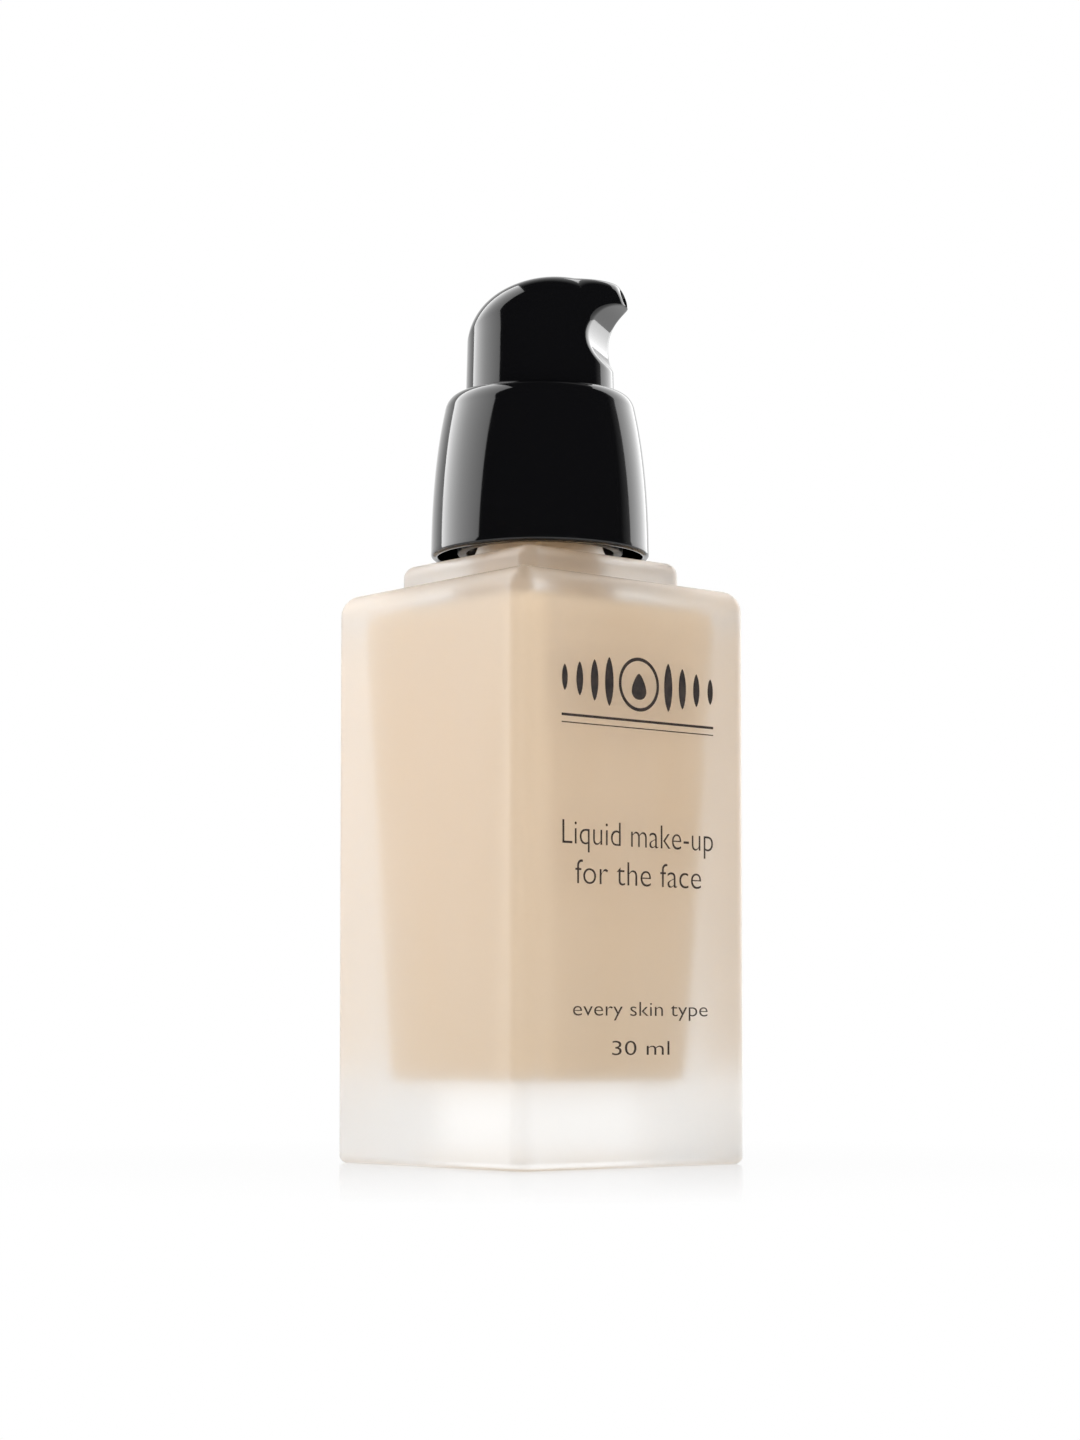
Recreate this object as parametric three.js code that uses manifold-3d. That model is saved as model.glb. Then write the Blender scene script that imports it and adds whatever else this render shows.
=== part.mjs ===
// A square frosted-glass foundation bottle with a screw-on treatment pump.
// Millimetres, +Z up, origin at the centre of the base. The printed face looks along -Y.
import * as THREE from 'three';
import { LoftGeometry } from 'three/addons/geometries/LoftGeometry.js';
import { mergeVertices } from 'three/addons/utils/BufferGeometryUtils.js';
import Module from 'manifold-3d';

const wasm = await Module();
wasm.setup();

// ---------------------------------------------------------------- driving dimensions
const ROUND = 32; // facets round a large turned piece
const FINE = 20; // facets round a small one

const BODY = { half: 17, corner: 2.2, top: 65.5, lowerEdge: 0.9, upperEdge: 2.5 };
const STEP = { half: 11.75, corner: 1.9, bottom: 64, top: 68.8, upperEdge: 1.4 };
const PUSH_UP = { radius: 12, depth: 0.8 };
const CAVITY = {
	floor: 9.3, roof: 63.2, halfFloor: 10.9, halfRoof: 14.1, corner: 2.4, lowerEdge: 1.6, upperEdge: 2.4,
};
const LIQUID_GAP = 0.2;

const NECK = { radius: 7.2, bore: 4.6, top: 77.5, flare: 2.4 };
const THREAD = { pitch: 3, base: 1.5, crest: 0.6, depth: 1.05, bury: 0.3, stepsPerTurn: 32 };
const NECK_THREAD = { start: 71.9, turns: 1.5 };
const CAP_THREAD = { firstTurn: 0.3, turns: 1, drop: 1.25, depth: 1 };

const CAP = {
	bottom: 70.1, inner: 8.5, outer: 9.6, discBottom: 79.25, top: 80.35, hole: 5.3, bead: 10.9, beadHeight: 2,
};
const SHELL = {
	bottom: 69.6, foot: 12.6, shoulder: 11.05, shoulderZ: 86.5, top: 88.4, opening: 8.95, wall: 0.85,
};
const GASKET = { bottom: 77.55, top: 78.35, inner: 4.7, outer: 7.9 };

const CHAMBER = { inner: 3.9, outer: 4.35, floor: 55, flangeBottom: 78.4, flangeTop: 79.2, flange: 7.9 };
const BOSS = { radius: 5.15, top: 81.9 };
const VALVE = {
	pocket: 1.9, seatZ: 51.4, inlet: 0.9, ball: 1.59, ballZ: 52.8, nib: 1.45, nibBottom: 54.5, slot: 1.5,
};
const SOCKET = { bottom: 45.5, outer: 2.4, inner: 1.62, top: 51 };
const DIP_TUBE = { outer: 1.55, inner: 1, top: 50.9, bottom: 10.9, bevel: 2.2 };
const VENT = { radius: 0.4, z: 76.2 };

const RING = {
	bottom: 80.5, top: 82.8, outer: 6.3, recess: 5.25, recessTop: 82, guide: 3.75, guideBottom: 75, bore: 2,
};
const STEM_SEAL = { bottom: 75.1, top: 75.9, outer: 2.85, inner: 1.95 };
const STEM = { outer: 1.9, inner: 1, top: 95, stopTop: 74.9, stopBottom: 74.4, stop: 2.75, socketTop: 77.5 };
const PISTON_ROD = { outer: 1.35, inner: 0.8, bottom: 67.3, top: 77.4, clearance: 0.05 };
const PORT = { radius: 0.4, z: 68.1 };
const PISTON = { bottom: 67.25, top: 71.2, bore: 1.42, hub: 2.3, lip: 3.8, lipRoot: 3.1 };
const PLUG = { bottom: 64.5, top: 67.2, flange: 3, nose: 2, spigot: 0.75, spigotTop: 70 };
const RETURN_SPRING = { radius: 2.6, wire: 0.22, turns: 6 };
const PISTON_SPRING = { radius: 1.85, wire: 0.16, turns: 3 };
const SPRING_SEAT = 0.05; // clearance between a spring's end and what it bears on

const HEAD = {
	foot: 8.6, brow: 8.4, wall: 1.1, skirt: 86.6, yaw: -57, sideFillet: 2.8, backFillet: 1.1, tipFillet: 1.9,
};
const CROWN = { z: 101.35, x: 4, backReach: 13, backDrop: 8.7, frontFall: 0.012, sideFall: 0.008 };
const BEAK = { reach: 10.45, spread: 38, fadeFrom: 94.2, fadeTo: 98 };
const SCOOP = { x: 10.9, z: 94.4, radius: 3.9 };
const SPOUT = {
	rootZ: 98, tipX: 10.3, tipZ: 99.35, outer: 0.75, inner: 0.42, start: 5, recess: 0.8, clearance: 0.06,
	faceTilt: 20,
};
const CORE = {
	bottom: 88.8, tube: 3.2, bore: 2, boreTop: 95.1, top: 100.4, channel: 0.62, arm: 1.6, gap: 0.25,
};

// ---------------------------------------------------------------- materials
const finish = (color, roughness, metalness = 0) =>
	new THREE.MeshStandardMaterial({ color, roughness, metalness });
const FROSTED_GLASS = new THREE.MeshStandardMaterial({
	color: 0xeeebe6, roughness: 0.45, metalness: 0, transparent: true, opacity: 0.45,
});
const CREAM = finish(0xdcbf9f, 0.5);
const BLACK_GLOSS = finish(0x0b0b0c, 0.08);
const BLACK_PLAIN = finish(0x101011, 0.4);
const NATURAL_PP = finish(0xe4e2dc, 0.45);
const PISTON_PE = finish(0xd7dbe0, 0.55);
const FOAM = finish(0xf2f0ea, 0.9);
const NITRILE = finish(0x1d1d1d, 0.8);
const STEEL = finish(0xb9bcc0, 0.25, 1);

// ---------------------------------------------------------------- helpers
const lerp = THREE.MathUtils.lerp;
const smoothstep = THREE.MathUtils.smoothstep;
const degrees = THREE.MathUtils.degToRad;
const range = (count) => Array.from({ length: count }, (_, index) => index);

// A closed geometry as a solid that can be joined and cut.
function solid(geometry) {
	const bare = geometry.index ? geometry.toNonIndexed() : geometry.clone();
	bare.deleteAttribute('normal');
	bare.deleteAttribute('uv');
	const merged = mergeVertices(bare, 1e-4);
	const made = new wasm.Mesh({
		numProp: 3,
		vertProperties: merged.attributes.position.array,
		triVerts: new Uint32Array(merged.index.array),
	});
	return new wasm.Manifold(made);
}

// A joined or cut solid back as a geometry.
function geometryOf(manifold) {
	const { vertProperties, triVerts } = manifold.getMesh();
	const geometry = new THREE.BufferGeometry();
	geometry.setAttribute('position', new THREE.BufferAttribute(vertProperties, 3));
	geometry.setIndex(new THREE.BufferAttribute(triVerts, 1));
	geometry.computeVertexNormals();
	return geometry;
}

function named(name, shape, material) {
	const geometry = shape.isBufferGeometry ? shape : geometryOf(shape);
	const mesh = new THREE.Mesh(geometry, material);
	mesh.name = name;
	return mesh;
}

// A turned solid. The profile is a list of [radius, z], counter-clockwise, either a closed
// ring or a line that starts and ends on the axis.
function turned(profile, facets = ROUND) {
	const points = profile.map(([radius, z]) => new THREE.Vector2(radius, z));
	const onAxis = profile[0][0] === 0 && profile.at(-1)[0] === 0;
	if (!onAxis) points.push(points[0].clone());
	return new THREE.LatheGeometry(points, facets).rotateX(Math.PI / 2);
}

const tube = (inner, outer, bottom, top, facets = ROUND) =>
	turned([[inner, bottom], [outer, bottom], [outer, top], [inner, top]], facets);
const rod = (radius, bottom, top, facets = ROUND) =>
	turned([[0, bottom], [radius, bottom], [radius, top], [0, top]], facets);

// A level square section with round corners.
function roundedSquare(half, corner, z, arcSteps = 5) {
	return range(4).flatMap((quarter) => range(arcSteps + 1).map((step) => {
		const angle = (quarter + step / arcSteps) * Math.PI / 2;
		const middle = (quarter + 0.5) * Math.PI / 2;
		const offset = (half - corner) * Math.SQRT2;
		return new THREE.Vector3(
			offset * Math.cos(middle) + corner * Math.cos(angle),
			offset * Math.sin(middle) + corner * Math.sin(angle), z);
	}));
}

// A square block that may taper, with round edges at its foot and its top.
function roundedBlock({ halfFoot, halfTop, corner, foot, top, lowerEdge, upperEdge }, edgeSteps = 4) {
	const section = (inset, z) => {
		const half = lerp(halfFoot, halfTop, (z - foot) / (top - foot)) - inset;
		return roundedSquare(half, Math.max(corner - inset, corner * 0.2), z);
	};
	const quarter = range(edgeSteps + 1).map((step) => step / edgeSteps * Math.PI / 2);
	const lower = quarter.map((a) =>
		section(lowerEdge * (1 - Math.sin(a)), foot + lowerEdge * (1 - Math.cos(a))));
	const upper = quarter.map((a) =>
		section(upperEdge * (1 - Math.cos(a)), top - upperEdge * (1 - Math.sin(a))));
	const start = lowerEdge ? lower : [section(0, foot)];
	return new LoftGeometry([...start, ...upper], { capStart: true, capEnd: true });
}

// A coil about the Z axis. `sink` draws both of its ends towards that radius, so a thread runs out.
class Helix extends THREE.Curve {
	constructor({ radius, bottom, pitch, turns, startTurn = 0, sink = 0 }) {
		super();
		Object.assign(this, { radius, bottom, pitch, turns, startTurn, sink });
	}
	angle(t) {
		return (this.startTurn + t * this.turns) * 2 * Math.PI;
	}
	getPoint(t, target = new THREE.Vector3()) {
		const runOut = 1 - smoothstep(Math.min(t, 1 - t), 0, 0.12);
		const radius = this.radius + this.sink * runOut;
		const a = this.angle(t);
		const z = this.bottom + this.pitch * this.turns * t;
		return target.set(radius * Math.cos(a), radius * Math.sin(a), z);
	}
	// The section stays upright: its x axis is radial and its y axis points down the coil's axis.
	computeFrenetFrames(segments) {
		const angles = range(segments + 1).map((index) => this.angle(index / segments));
		const normals = angles.map((a) => new THREE.Vector3(Math.cos(a), Math.sin(a), 0));
		const binormals = angles.map(() => new THREE.Vector3(0, 0, -1));
		const tangents = angles.map((a) => new THREE.Vector3(-Math.sin(a), Math.cos(a), 0));
		return { tangents, normals, binormals };
	}
}

function coil(path, section, steps) {
	return new THREE.ExtrudeGeometry(section, { steps, extrudePath: path, curveSegments: 3 });
}

// A trapezoid thread ridge standing `depth` out of a wall; a negative depth points inwards.
function threadRidge({ wallRadius, depth, bottom, turns, startTurn = 0 }) {
	const inwards = Math.sign(depth);
	const root = -THREAD.bury * inwards;
	const outline = [[root, -THREAD.base / 2], [depth, -THREAD.crest / 2],
		[depth, THREAD.crest / 2], [root, THREAD.base / 2]];
	const section = new THREE.Shape(outline.map(([x, y]) => new THREE.Vector2(x, y)));
	const path = new Helix({
		radius: wallRadius, bottom, pitch: THREAD.pitch, turns, startTurn, sink: -depth - 0.1 * inwards,
	});
	return solid(coil(path, section, Math.round(THREAD.stepsPerTurn * turns)));
}

function wireCoil({ radius, wire, turns }, bottom, top, stepsPerTurn) {
	const section = new THREE.Shape().absarc(0, 0, wire, 0, 2 * Math.PI);
	const height = top - bottom - 2 * wire;
	const path = new Helix({ radius, bottom: bottom + wire, pitch: height / turns, turns });
	return coil(path, section, Math.round(turns * stepsPerTurn));
}

// ---------------------------------------------------------------- bottle
function cavity(gap = 0) {
	return solid(roundedBlock({
		halfFoot: CAVITY.halfFloor - gap, halfTop: CAVITY.halfRoof - gap, corner: CAVITY.corner,
		foot: CAVITY.floor + gap, top: CAVITY.roof - gap,
		lowerEdge: CAVITY.lowerEdge, upperEdge: CAVITY.upperEdge,
	}));
}

function neckOutline() {
	const foot = STEP.top;
	const flare = range(5).map((step) => {
		const a = step / 4 * Math.PI / 2;
		return [NECK.radius + NECK.flare * (1 - Math.sin(a)), foot + NECK.flare * (1 - Math.cos(a))];
	});
	return [[0, foot - 1], [NECK.radius + NECK.flare, foot - 1], ...flare,
		[NECK.radius, NECK.top - 0.3], [NECK.radius - 0.3, NECK.top], [0, NECK.top]];
}

function glassBottle() {
	const body = solid(roundedBlock({ halfFoot: BODY.half, halfTop: BODY.half, foot: 0, ...BODY }));
	const step = solid(roundedBlock({
		halfFoot: STEP.half, halfTop: STEP.half, foot: STEP.bottom, lowerEdge: 0, ...STEP,
	}));
	const thread = threadRidge({
		wallRadius: NECK.radius, depth: THREAD.depth, bottom: NECK_THREAD.start, turns: NECK_THREAD.turns,
	});
	const bore = solid(rod(NECK.bore, CAVITY.roof - 1, NECK.top + 1));
	// The base is a shallow dish, so the bottle stands on its rim.
	const sphere = (PUSH_UP.radius ** 2 + PUSH_UP.depth ** 2) / (2 * PUSH_UP.depth);
	const dish = [0, 0.5, 1].map((share) => {
		const radius = PUSH_UP.radius * (1 - share);
		return [radius, Math.sqrt(sphere ** 2 - radius ** 2) - (sphere - PUSH_UP.depth)];
	});
	const pushUp = solid(turned([[0, -1], [PUSH_UP.radius, -1], ...dish]));
	return body.add(step).add(solid(turned(neckOutline()))).add(thread)
		.subtract(cavity()).subtract(bore).subtract(pushUp);
}

// The pump's outside, grown by a gap, as the hollow that it leaves in the liquid.
function pumpPocket(gap) {
	const wide = CHAMBER.outer + gap;
	const narrow = SOCKET.outer + gap;
	const thin = DIP_TUBE.outer + gap;
	return solid(turned([[0, DIP_TUBE.bottom - gap], [thin, DIP_TUBE.bottom - gap], [thin, SOCKET.bottom - gap],
		[narrow, SOCKET.bottom - gap], [narrow, SOCKET.top - 0.5 - gap], [wide, CHAMBER.floor - 0.9 - gap],
		[wide, CAVITY.roof + 1], [0, CAVITY.roof + 1]]));
}

// ---------------------------------------------------------------- closure
function screwCap() {
	const beadBottom = CAP.top - CAP.beadHeight;
	const body = solid(turned([[CAP.inner, CAP.bottom], [CAP.outer, CAP.bottom], [CAP.outer, beadBottom - 0.8],
		[CAP.bead, beadBottom], [CAP.bead, CAP.top - 0.3], [CAP.bead - 0.3, CAP.top], [CAP.hole, CAP.top],
		[CAP.hole, CAP.discBottom], [CAP.inner, CAP.discBottom]]));
	const thread = threadRidge({
		wallRadius: CAP.inner, depth: -CAP_THREAD.depth,
		turns: CAP_THREAD.turns, startTurn: CAP_THREAD.firstTurn,
		bottom: NECK_THREAD.start + THREAD.pitch * CAP_THREAD.firstTurn - CAP_THREAD.drop,
	});
	return body.add(thread);
}

function collarShell() {
	const barrel = new THREE.CubicBezierCurve(
		new THREE.Vector2(SHELL.foot, SHELL.bottom + 0.2), new THREE.Vector2(SHELL.foot - 0.05, 75.5),
		new THREE.Vector2(SHELL.foot - 0.45, 81.5), new THREE.Vector2(SHELL.shoulder, SHELL.shoulderZ));
	const shoulder = new THREE.QuadraticBezierCurve(
		new THREE.Vector2(SHELL.shoulder, SHELL.shoulderZ),
		new THREE.Vector2(SHELL.shoulder - 0.3, SHELL.top - 0.1),
		new THREE.Vector2(SHELL.opening + 0.35, SHELL.top));
	const outside = [...barrel.getPoints(7), ...shoulder.getPoints(4).slice(1)].map(({ x, y }) => [x, y]);
	const innerFoot = SHELL.foot - SHELL.wall;
	const seat = CAP.bead + 0.12; // the bore that grips the cap's bead
	return turned([[innerFoot, SHELL.bottom], [SHELL.foot - 0.2, SHELL.bottom], ...outside,
		[SHELL.opening, SHELL.top - 0.3], [SHELL.opening, SHELL.top - 1],
		[SHELL.shoulder - 1.2, SHELL.top - 1.3],
		[SHELL.shoulder - 0.9, SHELL.shoulderZ - 0.8], [seat - 0.55, CAP.top + 0.15], [seat, CAP.top + 0.15],
		[seat, CAP.top - CAP.beadHeight - 0.4], [innerFoot, CAP.bottom + 4]]);
}

// ---------------------------------------------------------------- pump
function pumpHousing() {
	const body = solid(turned([[SOCKET.inner, SOCKET.bottom], [SOCKET.outer, SOCKET.bottom],
		[SOCKET.outer, SOCKET.top - 0.5], [CHAMBER.outer, CHAMBER.floor - 0.9],
		[CHAMBER.outer, CHAMBER.flangeBottom], [CHAMBER.flange, CHAMBER.flangeBottom],
		[CHAMBER.flange, CHAMBER.flangeTop], [BOSS.radius, CHAMBER.flangeTop], [BOSS.radius, BOSS.top],
		[CHAMBER.inner, BOSS.top], [CHAMBER.inner, CHAMBER.floor],
		[VALVE.nib, CHAMBER.floor], [VALVE.nib, VALVE.nibBottom], [VALVE.pocket, VALVE.nibBottom],
		[VALVE.pocket, VALVE.seatZ + VALVE.pocket - VALVE.inlet],
		[VALVE.inlet, VALVE.seatZ], [VALVE.inlet, SOCKET.top], [SOCKET.inner, SOCKET.top]]));
	const vent = solid(new THREE.CylinderGeometry(VENT.radius, VENT.radius, 3, 8)
		.rotateZ(Math.PI / 2).translate(CHAMBER.outer, 0, VENT.z));
	// The rim over the ball's pocket is slotted into four nibs, which hold the ball and let liquid past.
	const rim = solid(rod(VALVE.pocket, VALVE.nibBottom - 0.1, CHAMBER.floor + 0.1, FINE));
	const slots = [0, 1].map((turn) => solid(new THREE.BoxGeometry(2 * CHAMBER.inner, VALVE.slot, 2)
		.rotateZ(turn * Math.PI / 2).translate(0, 0, CHAMBER.floor)));
	return body.subtract(vent).subtract(slots[0].add(slots[1]).intersect(rim));
}

function retainingRing() {
	return turned([[RING.bore, RING.guideBottom + 1], [RING.guide - 0.8, RING.guideBottom + 1],
		[RING.guide - 0.8, RING.guideBottom], [RING.guide, RING.guideBottom], [RING.guide, RING.recessTop],
		[RING.recess, RING.recessTop], [RING.recess, RING.bottom], [RING.outer, RING.bottom],
		[RING.outer, RING.top - 0.4], [RING.outer - 0.4, RING.top], [RING.bore, RING.top]]);
}

function dipTube() {
	const straight = solid(tube(DIP_TUBE.inner, DIP_TUBE.outer, DIP_TUBE.bottom, DIP_TUBE.top, FINE));
	// The foot is cut at a slant, so that it can't seal itself against the floor.
	const blade = solid(new THREE.BoxGeometry(12, 8, 8).translate(0, 0, -4)
		.rotateY(-Math.atan2(DIP_TUBE.bevel, 2 * DIP_TUBE.outer))
		.translate(0, 0, DIP_TUBE.bottom + DIP_TUBE.bevel / 2));
	return straight.subtract(blade);
}

// The upper half of the stem: the head is pushed on its top, and the rod is pressed up its foot.
function stem() {
	const socket = PISTON_ROD.outer + PISTON_ROD.clearance;
	return turned([[socket, STEM.stopBottom], [STEM.stop, STEM.stopBottom], [STEM.stop, STEM.stopTop],
		[STEM.outer, STEM.stopTop], [STEM.outer, STEM.top - 0.3], [STEM.outer - 0.3, STEM.top],
		[STEM.inner, STEM.top], [STEM.inner, STEM.socketTop], [socket, STEM.socketTop]], FINE);
}

// The lower half of the stem, with the side port that the piston uncovers.
function pistonRod() {
	const body = solid(tube(PISTON_ROD.inner, PISTON_ROD.outer, PISTON_ROD.bottom, PISTON_ROD.top, FINE));
	const port = solid(new THREE.CylinderGeometry(PORT.radius, PORT.radius, 2, 8)
		.rotateZ(Math.PI / 2).translate(PISTON_ROD.outer, 0, PORT.z));
	return body.subtract(port);
}

// A soft sleeve with a lip at each end that wipes the chamber's wall.
function piston() {
	const middle = (PISTON.bottom + PISTON.top) / 2;
	return turned([[PISTON.bore, PISTON.bottom], [PISTON.hub, PISTON.bottom], [PISTON.hub, middle - 0.6],
		[PISTON.lipRoot, PISTON.bottom + 0.1], [PISTON.lip, PISTON.bottom + 0.1],
		[PISTON.lip - 0.2, middle - 0.3], [PISTON.lip - 0.2, middle + 0.3],
		[PISTON.lip, PISTON.top - 0.1], [PISTON.lipRoot, PISTON.top - 0.1],
		[PISTON.hub, middle + 0.6], [PISTON.hub, PISTON.top], [PISTON.bore, PISTON.top]], FINE);
}

// Closes the rod's foot. Its flange bears on the return spring, and its spigot is pressed up the rod.
function stemPlug() {
	const shelf = PORT.z - PORT.radius - 0.1; // the spigot thins here, below the port
	return turned([[0, PLUG.bottom - 1.2], [PLUG.nose - 0.4, PLUG.bottom - 1.2], [PLUG.nose, PLUG.bottom],
		[PLUG.flange, PLUG.bottom], [PLUG.flange, PLUG.bottom + 0.8], [PLUG.nose, PLUG.top - 0.4],
		[PLUG.nose - 0.5, PLUG.top], [PLUG.spigot, PLUG.top], [PLUG.spigot, shelf],
		[PLUG.spigot / 2, shelf], [PLUG.spigot / 2, PLUG.spigotTop], [0, PLUG.spigotTop]], FINE);
}

// ---------------------------------------------------------------- actuator head
// The head is drawn with its spout along +X. Its top is a crown, high behind the spout.
function crownHeight(x, y) {
	const ahead = x - CROWN.x;
	const back = CROWN.backDrop * (1 - Math.sqrt(Math.max(0, 1 - (ahead / CROWN.backReach) ** 2)));
	const fall = ahead < 0 ? back : CROWN.frontFall * ahead ** 2;
	return CROWN.z - fall - CROWN.sideFall * y ** 2;
}

const beakShare = (angle) => Math.cos(Math.min(Math.abs(angle) / degrees(BEAK.spread), 1) * Math.PI / 2) ** 2;

// One ring of the head's surface, placed by angle: `full` is how far the wall or the beak reaches
// there, and `fillet` is the rounding between it and the crown.
function headRing(angles, offset, place) {
	return angles.map((angle) => {
		const beak = offset ? 0 : beakShare(angle);
		const behind = Math.min(Math.cos(angle), 0) ** 2;
		const side = lerp(HEAD.sideFillet, HEAD.backFillet, behind);
		const fillet = lerp(side, HEAD.tipFillet, beak) * (offset ? 0.6 : 1);
		const full = lerp(HEAD.brow - offset, BEAK.reach, beak);
		const { radius, z } = place({ angle, beak, fillet, full });
		return new THREE.Vector3(radius * Math.cos(angle), radius * Math.sin(angle), z);
	});
}

function headBlock(offset, bottom) {
	const around = 44;
	// The facets crowd towards the beak.
	const angles = range(around).map((index) => {
		const turn = (2 * index / around - 1) * Math.PI;
		return turn - 0.35 * Math.sin(turn);
	});
	const top = (radius, angle) => crownHeight(radius * Math.cos(angle), radius * Math.sin(angle)) - offset;
	const wallRing = (share) => headRing(angles, offset, ({ angle, beak, fillet, full }) => {
		const z = lerp(bottom, top(full, angle) - fillet, share);
		const wall = lerp(HEAD.foot, HEAD.brow, smoothstep(z, HEAD.skirt, BEAK.fadeTo)) - offset;
		return { radius: lerp(wall, full, beak && smoothstep(z, BEAK.fadeFrom, BEAK.fadeTo)), z };
	});
	const filletRing = (bend) => headRing(angles, offset, ({ angle, fillet, full }) => {
		const radius = full - fillet * (1 - Math.cos(bend));
		return { radius, z: top(radius, angle) - fillet * (1 - Math.sin(bend)) };
	});
	const topRing = (share) => headRing(angles, offset, ({ angle, fillet, full }) => {
		const radius = (full - fillet) * share;
		return { radius, z: top(radius, angle) };
	});
	const wallShares = offset ? [0, 0.6, 1] : [0, 0.55, 0.66, 0.75, 0.82, 0.88, 0.94, 1];
	const bends = offset ? [45, 90] : [22, 45, 67, 90];
	return solid(new LoftGeometry([
		...wallShares.map(wallRing), ...bends.map((bend) => filletRing(degrees(bend))),
		...[0.66, 0.33, 0.05].map(topRing),
	], { capStart: true, capEnd: true }));
}

// A level rod across the head, which cuts the finger scoop under the beak.
const scoopRod = (grow) => solid(new THREE.CylinderGeometry(SCOOP.radius + grow, SCOOP.radius + grow, 30, 40)
	.translate(SCOOP.x, 0, SCOOP.z));

// A rod along the spout's line, which rises gently from the stem to the beak's tip.
function spoutRod(radius, from, to, facets = 16) {
	const rise = Math.atan2(SPOUT.tipZ - SPOUT.rootZ, SPOUT.tipX);
	const length = (to - from) / Math.cos(rise);
	return solid(new THREE.CylinderGeometry(radius, radius, length, facets).rotateZ(-Math.PI / 2)
		.translate(from / Math.cos(rise) + length / 2, 0, 0).rotateY(-rise).translate(0, 0, SPOUT.rootZ));
}

function actuatorShell() {
	const hollow = headBlock(HEAD.wall, HEAD.skirt - 1).subtract(scoopRod(HEAD.wall));
	const mouth = solid(new THREE.BoxGeometry(2, 8, 8).translate(1, 0, 0)
		.rotateY(-degrees(SPOUT.faceTilt)).translate(SPOUT.tipX - 0.25, 0, SPOUT.tipZ));
	return headBlock(0, HEAD.skirt).subtract(scoopRod(0)).subtract(hollow).subtract(mouth)
		.subtract(spoutRod(SPOUT.outer + SPOUT.clearance, SPOUT.start, SPOUT.tipX + 1));
}

function actuatorCore() {
	const body = solid(rod(CORE.tube, CORE.bottom, CORE.top, FINE)).add(spoutRod(CORE.arm, 0, HEAD.foot));
	return body.intersect(headBlock(HEAD.wall + CORE.gap, CORE.bottom)).subtract(scoopRod(HEAD.wall + CORE.gap))
		.subtract(solid(rod(CORE.bore, CORE.bottom - 1, CORE.boreTop, FINE)))
		.subtract(solid(rod(CORE.channel, CORE.boreTop - 1, SPOUT.rootZ, 12)))
		.subtract(spoutRod(CORE.channel, -0.6, SPOUT.start + 1))
		.subtract(spoutRod(SPOUT.outer + SPOUT.clearance, SPOUT.start, HEAD.foot));
}

function nozzleInsert() {
	return spoutRod(SPOUT.outer, SPOUT.start + 0.1, SPOUT.tipX - SPOUT.recess)
		.subtract(spoutRod(SPOUT.inner, 0, SPOUT.tipX + 1, 12));
}

// ---------------------------------------------------------------- assembly
const bottle = new THREE.Group();
bottle.add(
	named('glass_bottle', glassBottle(), FROSTED_GLASS),
	named('foundation_fill', cavity(LIQUID_GAP).subtract(pumpPocket(0.3)), CREAM),
);

const closure = new THREE.Group();
closure.add(
	named('screw_cap', screwCap(), BLACK_PLAIN),
	named('collar_shell', collarShell(), BLACK_GLOSS),
);

const pump = new THREE.Group();
const springTop = PLUG.bottom - SPRING_SEAT;
const pistonSpringTop = STEM.stopBottom - SPRING_SEAT;
pump.add(
	named('neck_gasket', tube(GASKET.inner, GASKET.outer, GASKET.bottom, GASKET.top), FOAM),
	named('pump_housing', pumpHousing(), NATURAL_PP),
	named('retaining_ring', retainingRing(), NATURAL_PP),
	named('stem_seal', tube(STEM_SEAL.inner, STEM_SEAL.outer, STEM_SEAL.bottom, STEM_SEAL.top, FINE), NITRILE),
	named('dip_tube', dipTube(), NATURAL_PP),
	named('inlet_ball', new THREE.SphereGeometry(VALVE.ball, 20, 12).translate(0, 0, VALVE.ballZ), STEEL),
	named('return_spring', wireCoil(RETURN_SPRING, CHAMBER.floor + SPRING_SEAT, springTop, 14), STEEL),
	named('stem', stem(), NATURAL_PP),
	named('piston_rod', pistonRod(), NATURAL_PP),
	named('stem_plug', stemPlug(), NATURAL_PP),
	named('piston', piston(), PISTON_PE),
	named('piston_spring', wireCoil(PISTON_SPRING, PISTON.top + SPRING_SEAT, pistonSpringTop, 14), STEEL),
);

const head = new THREE.Group();
head.rotation.z = degrees(HEAD.yaw);
head.add(
	named('actuator_shell', actuatorShell(), BLACK_GLOSS),
	named('actuator_core', actuatorCore(), BLACK_PLAIN),
	named('nozzle_insert', nozzleInsert(), BLACK_PLAIN),
);

const assembly = new THREE.Group();
assembly.add(bottle, closure, pump, head);

export default assembly;
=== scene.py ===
"""A square frosted-glass foundation bottle with a black treatment pump, built round its CAD frame."""
import math

import bmesh
import bpy
from mathutils import Matrix, Vector


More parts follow.
